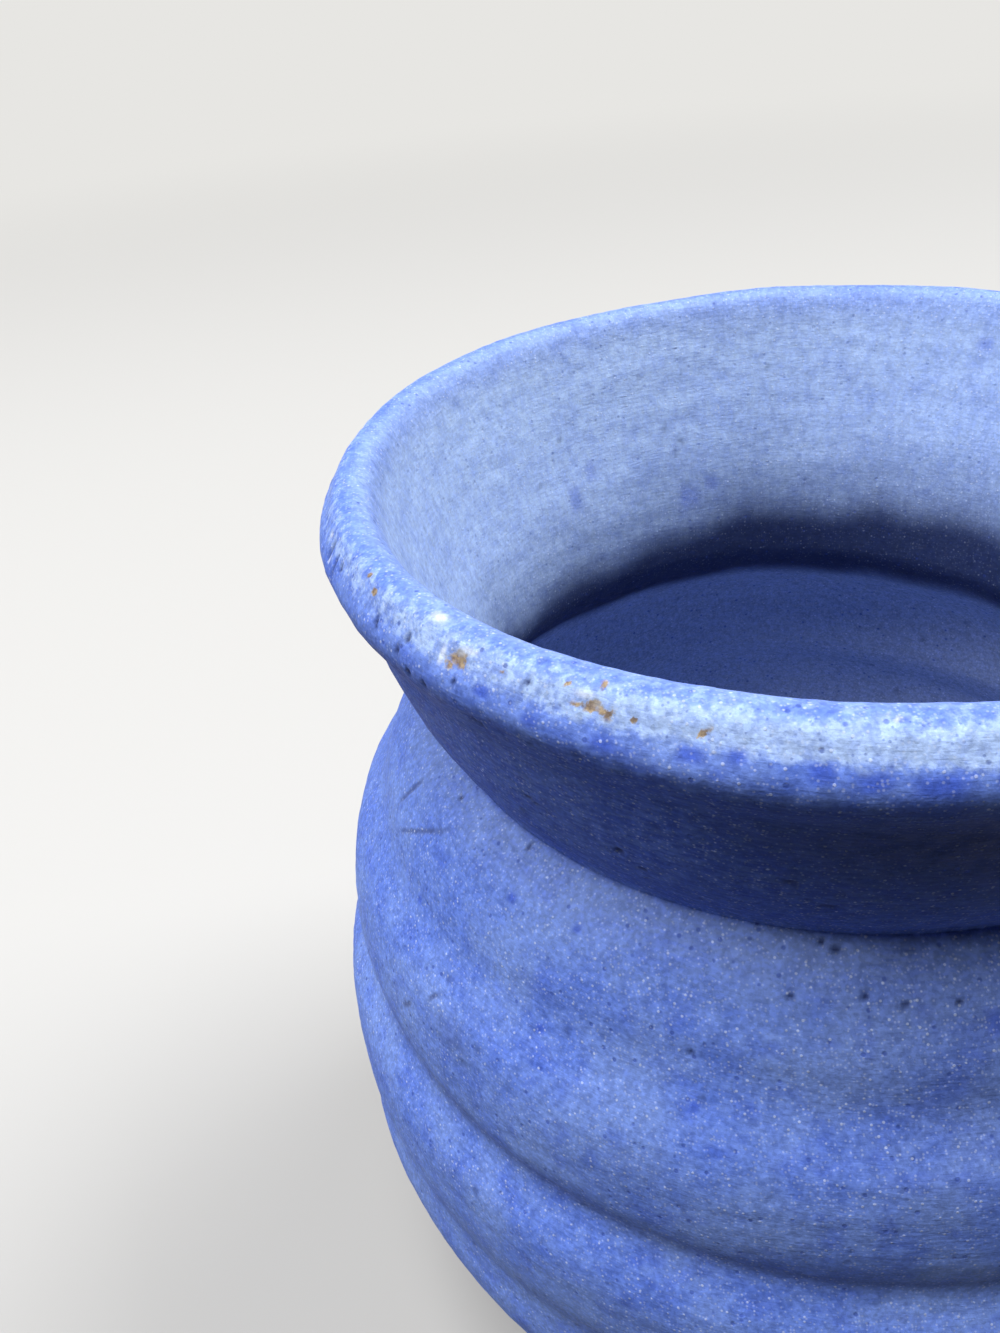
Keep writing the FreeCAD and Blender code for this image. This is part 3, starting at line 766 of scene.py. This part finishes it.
def make_mesh(name, points, normals, face_groups):
    """A smooth mesh from arrays of points and normals and groups of faces of one size each."""
    mesh = bpy.data.meshes.new(name)
    mesh.vertices.add(len(points))
    mesh.vertices.foreach_set("co", points.astype(np.float32).ravel())
    corners = np.concatenate([faces.ravel() for faces in face_groups]).astype(np.int32)
    sizes = np.concatenate([np.full(len(faces), faces.shape[1]) for faces in face_groups])
    starts = np.concatenate([[0], np.cumsum(sizes)[:-1]]).astype(np.int32)
    mesh.loops.add(len(corners))
    mesh.loops.foreach_set("vertex_index", corners)
    mesh.polygons.add(len(sizes))
    mesh.polygons.foreach_set("loop_start", starts)
    mesh.update(calc_edges=True)
    if mesh.validate():
        raise RuntimeError(f"{name} has faces that don't fit together")
    mesh.shade_smooth()
    mesh.normals_split_custom_set_from_vertices(normals.tolist())
    return mesh


def put(name, data):
    """A new object in the scene."""
    thing = bpy.data.objects.new(name, data)
    bpy.context.scene.collection.objects.link(thing)
    return thing


def add_piece(name, mesh, material, nodes):
    """Put a finished mesh in the scene as a piece of the jar that stands for CAD nodes."""
    piece = put(name, mesh)
    mesh.materials.append(material)
    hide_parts(*nodes)
    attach(piece, BODY)
    return piece


def add_coat(wall, sizes, name, start, end, nodes, material):
    """One coat of glaze as a closed skin: its detailed face and an even back inside the paste.

    The rows of the back, then of the face, make one loop. On the floor the loop stays open, and
    each end closes on one middle point.
    """
    inside = end < INSIDE_PAST_MM * MM
    step = sizes.row_step * (INSIDE_ROW_SHARE if inside else 1.0)
    face_rows = int(math.ceil((start - end) / step)) + 1
    back_rows = int(math.ceil((start - end) / (sizes.row_step * BACK_ROW_SHARE))) + 1
    turns = turns_round(sizes)
    face, face_normals, shows = glaze_face(wall, np.linspace(start, end, face_rows), turns)
    back, back_normals = glaze_back(wall, np.linspace(end, start, back_rows), turns,
                                    sizes.glaze * BACK_DEPTH_SHARE)
    points = np.concatenate([back.reshape(-1, 3), face.reshape(-1, 3)])
    normals = np.concatenate([back_normals.reshape(-1, 3), face_normals.reshape(-1, 3)])
    columns = len(turns)
    rows = back_rows + face_rows
    closes = "floor" in name
    groups = [ring_faces(rows, columns, wrap=not closes)]
    if closes:
        middles = np.array([[0.0, 0.0, face[-1, :, 2].mean()], [0.0, 0.0, back[0, :, 2].mean()]])
        points = np.concatenate([points, middles])
        normals = np.concatenate([normals, [[0.0, 0.0, 1.0], [0.0, 0.0, -1.0]]])
        first = rows * columns
        groups += [fan_faces((rows - 1) * columns, columns, first, turn_over=False),
                   fan_faces(0, columns, first + 1, turn_over=True)]
    mesh = make_mesh(name, points, normals, groups)
    for show, values in shows.items():
        whole = np.zeros(len(points), np.float32)
        whole[back_rows * columns:rows * columns] = values.ravel()
        mesh.attributes.new(show, "FLOAT", "POINT").data.foreach_set("value", whole)
    return add_piece(name, mesh, material, nodes)


class Nodes:
    """A node tree, with short calls that add nodes and link them."""

    def __init__(self, tree):
        self.tree = tree

    def add(self, kind, inputs=None, **settings):
        """A node with its settings, and with its inputs filled."""
        node = self.tree.nodes.new(kind)
        for name, value in settings.items():
            setattr(node, name, value)
        return self.fill(node, inputs or {})

    def fill(self, node, inputs):
        """Set a node's inputs by name: a socket is linked, and a value is set."""
        for name, value in inputs.items():
            if isinstance(value, bpy.types.NodeSocket):
                self.tree.links.new(value, node.inputs[name])
            else:
                node.inputs[name].default_value = value
        return node

    def sum(self, operation, first, second):
        """One operation on two numbers."""
        return self.add("ShaderNodeMath", {0: first, 1: second}, operation=operation).outputs[0]

    def times(self, first, second):
        """The product of two numbers."""
        return self.sum("MULTIPLY", first, second)

    def plus(self, first, second):
        """Two numbers added up."""
        return self.sum("ADD", first, second)

    def mix(self, share, first, second, blend="MIX"):
        """A colour between two by a share."""
        node = self.add("ShaderNodeMix", {0: share, 6: first, 7: second}, data_type="RGBA",
                        blend_type=blend)
        return node.outputs[2]

    def shown(self, name):
        """How much of a finish the mesh says there is."""
        return self.add("ShaderNodeAttribute", attribute_name=name).outputs["Fac"]

    def spread(self, value, low, high, to_low=0.0, to_high=1.0):
        """A value eased from one range into another."""
        node = self.add("ShaderNodeMapRange", {"Value": value, 1: low, 2: high, 3: to_low,
                                               4: to_high}, interpolation_type="SMOOTHSTEP")
        return node.outputs["Result"]

    def between(self, value, at_nought, at_one):
        """A value of nought to one eased into another range."""
        return self.spread(value, 0.0, 1.0, at_nought, at_one)

    def layers(self, body, rows):
        """Colours laid over a body one after another, each through its mask times a share."""
        for mask, share, over in rows:
            over = over if isinstance(over, bpy.types.NodeSocket) else rgba(over)
            body = self.mix(self.times(mask, share), body, over)
        return body

    def bumped(self, height):
        """A normal bent by a height in mm."""
        return self.add("ShaderNodeBump", {"Height": height, "Strength": 1.0,
                                           "Distance": MM}).outputs[0]

    def vector(self, operation, *values):
        """One operation on vectors, as its node."""
        return self.add("ShaderNodeVectorMath", dict(enumerate(values)), operation=operation)

    def place(self):
        """The place on the jar in millimetres."""
        coordinates = self.add("ShaderNodeTexCoord").outputs["Object"]
        return self.vector("MULTIPLY", coordinates, (1 / MM,) * 3).outputs[0]

    def seen(self):
        """One for a ray that looks, straight or by a mirror or a pane, and nought for other light."""
        rays = self.add("ShaderNodeLightPath").outputs
        other = self.sum("MAXIMUM", rays["Is Glossy Ray"], rays["Is Transmission Ray"])
        return self.sum("MAXIMUM", rays["Is Camera Ray"], other)

    def textures(self, table):
        """The shared groups of a table, each read at the place on the jar, by the table's names."""
        place = self.place()
        return SimpleNamespace(**{name: self.group(kind, place, *values)
                                  for name, (kind, *values) in table.items()})

    def group(self, name, *values):
        """A shared group placed here, with its own place and numbers in the order of its inputs."""
        node = self.add("ShaderNodeGroup", node_tree=GROUPS[name]())
        return self.fill(node, dict(enumerate(values))).outputs[0]


# What hands out each shared group, by its plain name
GROUPS = {}


def shared_group(output, **numbers):
    """Turn a function that fills a node tree into one that hands out its group, built only once.

    The group has a place, then the numbers with their defaults, as inputs, and one output.
    """
    def wrap(fill):
        name = fill.__name__.capitalize()

        def group():
            if name in bpy.data.node_groups:
                return bpy.data.node_groups[name]
            tree = bpy.data.node_groups.new(name, "ShaderNodeTree")
            face = tree.interface
            face.new_socket(name="Place", in_out="INPUT", socket_type="NodeSocketVector")
            for number, default in numbers.items():
                socket = face.new_socket(name=number.capitalize(), in_out="INPUT",
                                         socket_type="NodeSocketFloat")
                socket.default_value = default
            face.new_socket(name=output, in_out="OUTPUT", socket_type="NodeSocketFloat")
            nodes = Nodes(tree)
            given = nodes.add("NodeGroupInput").outputs
            nodes.add("NodeGroupOutput", {output: fill(nodes, given)})
            return tree

        GROUPS[fill.__name__] = group
        return group
    return wrap


def cells(nodes, given, **settings):
    """Uneven cells of a group's size about its place."""
    scale = nodes.sum("DIVIDE", 1.0, given["Size"])
    return nodes.add("ShaderNodeTexVoronoi", {"Vector": given["Place"], "Scale": scale}, **settings)


def soft_noise(nodes, given, finer, **inputs):
    """Soft noise about a group's place, finer than its size by a number of times."""
    scale = nodes.sum("DIVIDE", finer, given["Size"])
    return nodes.add("ShaderNodeTexNoise", {"Vector": given["Place"], "Scale": scale,
                                            **inputs}).outputs["Fac"]


def drawn(nodes, cell):
    """A number drawn for each cell."""
    return nodes.add("ShaderNodeSeparateColor", {0: cell.outputs["Color"]}).outputs[0]


def blend(nodes, share, first, second):
    """A number between two by a share."""
    return nodes.add("ShaderNodeMix", {0: share, 2: first, 3: second}, data_type="FLOAT").outputs[0]


@shared_group("Mask", size=5.0, low=0.4, high=0.6, detail=4.0)
def clouds(nodes, given):
    """Clouds of a size in mm, as a mask eased between two levels of soft noise."""
    noise = soft_noise(nodes, given, 1.0, Detail=given["Detail"], Roughness=0.62)
    return nodes.spread(noise, given["Low"], given["High"])


@shared_group("Mask", size=0.5, share=0.2, width=0.4)
def specks(nodes, given):
    """Specks in a share of even cells of a size in mm, each round and soft at its edge."""
    cell = cells(nodes, given)
    chosen = nodes.sum("LESS_THAN", drawn(nodes, cell), given["Share"])
    inner = nodes.times(given["Width"], 0.45)
    return nodes.times(nodes.spread(cell.outputs["Distance"], inner, given["Width"], 1.0, 0.0), chosen)


@shared_group("Mask", size=0.5, stretch=8.0, low=0.42, high=0.62, radius=42.0)
def streaks(nodes, given):
    """Streaks of a size in mm, drawn out round the jar by a number of times.

    The noise reads four numbers: the direction from the axis times the usual radius, so that it
    closes on itself round the jar, the distance from the axis, and the height.
    """
    level = nodes.vector("MULTIPLY", given["Place"], (1.0, 1.0, 0.0)).outputs[0]
    away = nodes.vector("LENGTH", level).outputs["Value"]
    long_size = nodes.times(given["Size"], given["Stretch"])
    turns = nodes.vector("SCALE", nodes.vector("NORMALIZE", level).outputs[0])
    nodes.fill(turns, {"Scale": nodes.sum("DIVIDE", given["Radius"], long_size)})
    height = nodes.add("ShaderNodeSeparateXYZ", {0: given["Place"]}).outputs[2]
    out = nodes.add("ShaderNodeCombineXYZ", {2: nodes.sum("DIVIDE", away, given["Size"])}).outputs[0]
    noise = nodes.add("ShaderNodeTexNoise", noise_dimensions="4D", inputs={
        "Vector": nodes.vector("ADD", turns.outputs[0], out).outputs[0],
        "W": nodes.sum("DIVIDE", height, given["Size"]), "Scale": 1.0, "Detail": 2.0})
    return nodes.spread(noise.outputs["Fac"], given["Low"], given["High"])


@shared_group("Shade", size=0.3, softness=0.5)
def flecks(nodes, given):
    """Crushed quartz seen through the glaze: an even random shade for each grain of a size in mm."""
    soft_shade = nodes.spread(soft_noise(nodes, given, 0.8, Detail=1.0), 0.3, 0.7)
    return blend(nodes, given["Softness"], drawn(nodes, cells(nodes, given)), soft_shade)


@shared_group("Height", size=0.3, fineness=0.5)
def grain(nodes, given):
    """Crushed quartz grain of a size in mm, as a height: uneven cells with finer noise on them."""
    cell = cells(nodes, given, feature="SMOOTH_F1")
    fine = soft_noise(nodes, given, 2.2, Detail=2.0)
    return blend(nodes, given["Fineness"], cell.outputs["Distance"], fine)


def rgba(values):
    """A colour of three numbers with full cover."""
    return (*values, 1.0)


def new_material(name):
    """An empty material: its nodes, and its Principled shader already linked to the output."""
    material = bpy.data.materials.new(name)
    material.use_nodes = True
    nodes = Nodes(material.node_tree)
    shader = next(node for node in material.node_tree.nodes if node.type == "BSDF_PRINCIPLED")
    return material, nodes, shader


def make_glaze(look):
    """Matt blue glaze: clouds, streaks, crystals, specks and grain, with the marks on top. It also
    carries painted light and shade: shade under the flare, below the throat, under the lip, in the
    groove and on the shoulder's front; a highlight on the lip; a glint; a reflection under the crease;
    and light inside.
    """
    material, nodes, shader = new_material(GLAZE_NAME)
    t = nodes.textures(GLAZE_TEXTURES)
    shown, between, times = nodes.shown, nodes.between, nodes.times
    inside, wear_and_highlight, under_lip_shade, pool = shown("inside"), shown("wear_and_highlight"), shown("under_lip_shade"), shown("pool")

    inner = nodes.layers(rgba(look.inside), ((t.patches, 0.24, look.cloud),
                                             (t.drips, 0.26, look.cloud)))
    # Wear of the lip and its painted highlight, ragged at the edges
    rubbed_and_lit = nodes.spread(nodes.plus(wear_and_highlight, between(t.ragged, -0.28, 0.14)), 0.10, 0.95)
    broken = nodes.plus(shown("paste_spot"), between(t.ragged, -0.35, 0.30))
    body = nodes.layers(rgba(look.blue), (
        (t.clouds, 0.60, look.cloud),
        (t.mottle, 0.30, look.cloud),
        (t.patches, 0.34, look.deep),
        # Paler glaze inside, partly painted light
        (inside, 0.94, inner),
        (shown("depth"), 0.92, look.depth),
        # Painted shade under the flare
        (under_lip_shade, between(t.mottle, 0.78, 0.60), look.under_lip_shade),
        # Greyer band under the crease, partly a painted reflection
        (shown("chalk_and_reflection"), between(t.streaks, 0.55, 0.95), look.chalk_and_reflection),
        (t.streaks, between(under_lip_shade, 0.16, 0.26), look.cloud),
        # Painted shade below the throat and under the lip
        (pool, 0.95, look.pool),
        # Wear of the lip, with its painted highlight
        (rubbed_and_lit, 0.90, look.wear_and_highlight),
        (shown("deep_spot"), between(inside, 0.75, 0.35), look.deep),
        # Stains and scratches, with painted shade in the groove and on the front of the shoulder
        (shown("stain_and_shade"), 0.82, look.stain_and_shade),
        (t.specks, between(inside, 0.62, 0.22), look.speck),
        (t.nicks, nodes.spread(wear_and_highlight, 0.1, 0.6, 0.08, 0.42), look.speck),
        (t.dust, between(pool, 0.22, 0.05), look.crystal),
        (t.crystals, between(pool, 0.44, 0.12), look.crystal),
        (nodes.spread(broken, 0.25, 0.80), 0.88,
         nodes.mix(t.ochre, rgba(look.paste), rgba(look.paste_dark))),
        # Pale crystal clusters, and a painted glint on the lip
        (shown("pale_spot_and_glint"), 0.80, look.crystal),
        (shown("dark_pit"), 0.95, look.pit),
    ))
    # Each grain has its own shade, less so inside
    shade = times(between(t.flecks, 0.84, 1.15), between(t.coarse, 0.90, 1.10))
    calm = times(inside, 0.45)
    shade = nodes.plus(times(shade, nodes.sum("SUBTRACT", 1.0, calm)), calm)
    grey = nodes.add("ShaderNodeCombineColor", {0: shade, 1: shade, 2: shade}).outputs[0]
    rough = nodes.sum("SUBTRACT", between(t.mottle, 0.62, 0.76), times(rubbed_and_lit, 0.144))
    height = nodes.plus(times(t.grain, 0.030), times(t.crystals, 0.016))
    height = nodes.sum("SUBTRACT", height, times(t.specks, 0.025))
    height = nodes.plus(height, times(t.streaks, 0.010))
    nodes.fill(shader, {"Base Color": nodes.mix(1.0, body, grey, "MULTIPLY"), "Roughness": rough,
                        "Normal": nodes.bumped(height), "Specular IOR Level": GLAZE_SPECULAR})
    return material


def make_paste(look, name, pale, dark, grain_size):
    """Bare fired paste: sandy clouds, pale quartz and dark grit over an open grain."""
    material, nodes, shader = new_material(name)
    t = nodes.textures({**PASTE_TEXTURES, "grain": ("grain", grain_size, 0.4)})
    body = nodes.layers(rgba(pale), (
        (t.clouds, 0.50, dark),
        (t.mottle, 0.35, dark),
        (t.streaks, 0.15, pale),
        (t.quartz, 0.45, look.crystal),
        (t.grit, 0.60, look.pit),
    ))
    height = nodes.plus(nodes.times(t.grain, 0.06), nodes.times(t.mottle, 0.05))
    height = nodes.sum("SUBTRACT", height, nodes.times(t.grit, 0.05))
    nodes.fill(shader, {"Base Color": body, "Roughness": nodes.between(t.mottle, 0.82, 0.95),
                        "Normal": nodes.bumped(height), "Specular IOR Level": PASTE_SPECULAR})
    return material


def make_floor_material(look):
    """Plain matt floor: pale to the eye, darker for the light that it sends back to the jar.

    Past the lamps' reach its pale colour glows evenly instead, so that it has no dark end.
    """
    material, nodes, shader = new_material("pale_floor")
    seen = nodes.seen()
    away = nodes.vector("LENGTH", nodes.place()).outputs["Value"]
    far = nodes.spread(away, look.floor_near / MM, look.floor_far / MM)
    lit = nodes.mix(seen, rgba(look.floor_bounce), rgba(look.floor_lit))
    nodes.fill(shader, {
        "Base Color": nodes.mix(far, lit, BLACK), "Roughness": FLOOR_ROUGHNESS,
        "Emission Color": nodes.mix(nodes.times(far, seen), BLACK, rgba(look.floor)),
        "Emission Strength": look.floor_glow, "Specular IOR Level": 0.0})
    return material


def make_room(look):
    """The room's even light, which the camera sees as the floor's own pale colour."""
    world = bpy.data.worlds.new("plain_room")
    world.use_nodes = True
    nodes = Nodes(world.node_tree)
    background = world.node_tree.nodes["Background"]
    seen = nodes.seen()
    nodes.fill(background, {"Color": nodes.mix(seen, rgba(look.sky), rgba(look.floor)),
                            "Strength": nodes.between(seen, look.sky_level, look.floor_glow)})
    return world


def add_coats(context, coats, nodes):
    """Coats of glaze that stand for the same CAD nodes, all in the jar's one glaze material."""
    scene = context.scene
    wall = Wall(scene.jar_sizes)
    material = bpy.data.materials.get(GLAZE_NAME) or make_glaze(scene.glaze_look)
    for name, start, end in coats:
        add_coat(wall, scene.jar_sizes, name, wall.place(*start), wall.place(*end), nodes, material)


class JARS_OT_outer_glaze(bpy.types.Operator):
    """Coat the jar's outside with its blue glaze, from the foot up to the lip"""

    bl_idname = "jars.outer_glaze"
    bl_label = "Outer glaze"

    def execute(self, context):
        add_coats(context, OUTER_COATS, ("outer_glaze",))
        return {"FINISHED"}


class JARS_OT_lip_glaze(bpy.types.Operator):
    """Coat the rounded lip, where the outer and the inner glaze meet"""

    bl_idname = "jars.lip_glaze"
    bl_label = "Lip glaze"

    def execute(self, context):
        add_coats(context, LIP_COATS, ("outer_glaze", "inner_glaze"))
        return {"FINISHED"}


class JARS_OT_inner_glaze(bpy.types.Operator):
    """Coat the jar's inside with its glaze, from the lip down to the floor"""

    bl_idname = "jars.inner_glaze"
    bl_label = "Inner glaze"

    def execute(self, context):
        add_coats(context, INNER_COATS, ("inner_glaze",))
        return {"FINISHED"}


class JARS_OT_paste(bpy.types.Operator):
    """Give the paste sections and their slurry joints their fired finish"""

    bl_idname = "jars.paste"
    bl_label = "Paste"

    def execute(self, context):
        look = context.scene.glaze_look
        paste = make_paste(look, "quartz_paste", look.paste, look.paste_dark, 0.35)
        slurry = make_paste(look, "paste_slurry", look.slurry, look.paste, 0.22)
        for name in ("neck_and_rim", "shoulder", "lower_body", "foot_ring"):
            dress(name, paste)
        for name in ("neck_luting", "belly_luting", "foot_luting"):
            dress(name, slurry)
        return {"FINISHED"}


def dress(node, material):
    """Give a CAD node one material in place of its own."""
    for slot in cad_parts[node].material_slots:
        slot.material = material


class JARS_OT_stage(bpy.types.Operator):
    """Set the floor, the lamps and the camera"""

    bl_idname = "jars.stage"
    bl_label = "Stage"

    def execute(self, context):
        scene = context.scene
        sizes, look = scene.jar_sizes, scene.stage_look
        add_floor(look)
        for lamp in LAMPS:
            add_lamp(sizes, *lamp)
        scene.world = make_room(look)
        add_camera(sizes, look)
        scene.view_settings.view_transform = "Standard"
        return {"FINISHED"}


def add_floor(look):
    """A wide level floor with its middle under the jar."""
    mesh = bpy.data.meshes.new("floor")
    corners = [(x * FLOOR_HALF, y * FLOOR_HALF, 0) for x, y in ((-1, -1), (1, -1), (1, 1), (-1, 1))]
    mesh.from_pydata(corners, [], [(0, 1, 2, 3)])
    mesh.materials.append(make_floor_material(look))
    put("floor", mesh)


def add_lamp(sizes, name, turn, elevation, distance, size, watts, tint):
    """A square soft lamp that looks at the middle of the jar."""
    lamp = bpy.data.lights.new(name, "AREA")
    lamp.size = size
    lamp.energy = watts
    lamp.color = tint
    direction = Vector((math.sin(math.radians(turn)) * math.cos(math.radians(elevation)),
                        -math.cos(math.radians(turn)) * math.cos(math.radians(elevation)),
                        math.sin(math.radians(elevation))))
    holder = put(name, lamp)
    holder.location = Vector((0, 0, sizes.jar_height / 2)) + direction * distance
    holder.rotation_euler = (-direction).to_track_quat("-Z", "Y").to_euler()


def add_camera(sizes, look):
    """The camera: it looks along +Y, pitched down, and then leans about its own line of sight."""
    camera = bpy.data.cameras.new("camera")
    camera.sensor_width = 36.0
    camera.lens = look.camera_lens
    camera.clip_start = 0.002
    camera.clip_end = 20.0
    holder = put("camera", camera)
    turned = Matrix.Rotation(math.pi / 2 - look.camera_pitch, 4, "X")
    leaned = Matrix.Rotation(look.camera_roll, 4, "Z")
    place = Matrix.Translation(Vector(look.camera_place) + Vector((0, 0, sizes.jar_height)))
    holder.matrix_world = place @ turned @ leaned
    bpy.context.scene.camera = holder


class JARS_PT_panel(bpy.types.Panel):
    """The jar's pieces, sizes and colours"""

    bl_idname = "JARS_PT_panel"
    bl_label = "Faience jar"
    bl_space_type = "VIEW_3D"
    bl_region_type = "UI"
    bl_category = "Faience jar"

    def draw(self, context):
        layout = self.layout
        for operator in OPERATORS:
            layout.operator(operator.bl_idname)
        for group in (context.scene.jar_sizes, context.scene.glaze_look, context.scene.stage_look):
            box = layout.box()
            for name in group.__annotations__:
                box.prop(group, name)


OPERATORS = (JARS_OT_outer_glaze, JARS_OT_lip_glaze, JARS_OT_inner_glaze, JARS_OT_paste,
             JARS_OT_stage)
CLASSES = (JarSizes, GlazeLook, StageLook, *OPERATORS, JARS_PT_panel)


def register():
    """Add the classes and the scene's settings."""
    for item in CLASSES:
        bpy.utils.register_class(item)
    bpy.types.Scene.jar_sizes = PointerProperty(type=JarSizes)
    bpy.types.Scene.glaze_look = PointerProperty(type=GlazeLook)
    bpy.types.Scene.stage_look = PointerProperty(type=StageLook)


def unregister():
    """Take the settings and the classes away again."""
    del bpy.types.Scene.stage_look
    del bpy.types.Scene.glaze_look
    del bpy.types.Scene.jar_sizes
    for item in reversed(CLASSES):
        bpy.utils.unregister_class(item)


def main():
    """Build the jar's finish and its stage."""
    register()
    bpy.ops.jars.outer_glaze()
    bpy.ops.jars.lip_glaze()
    bpy.ops.jars.inner_glaze()
    bpy.ops.jars.paste()
    bpy.ops.jars.stage()


if __name__ == "__main__":
    main()
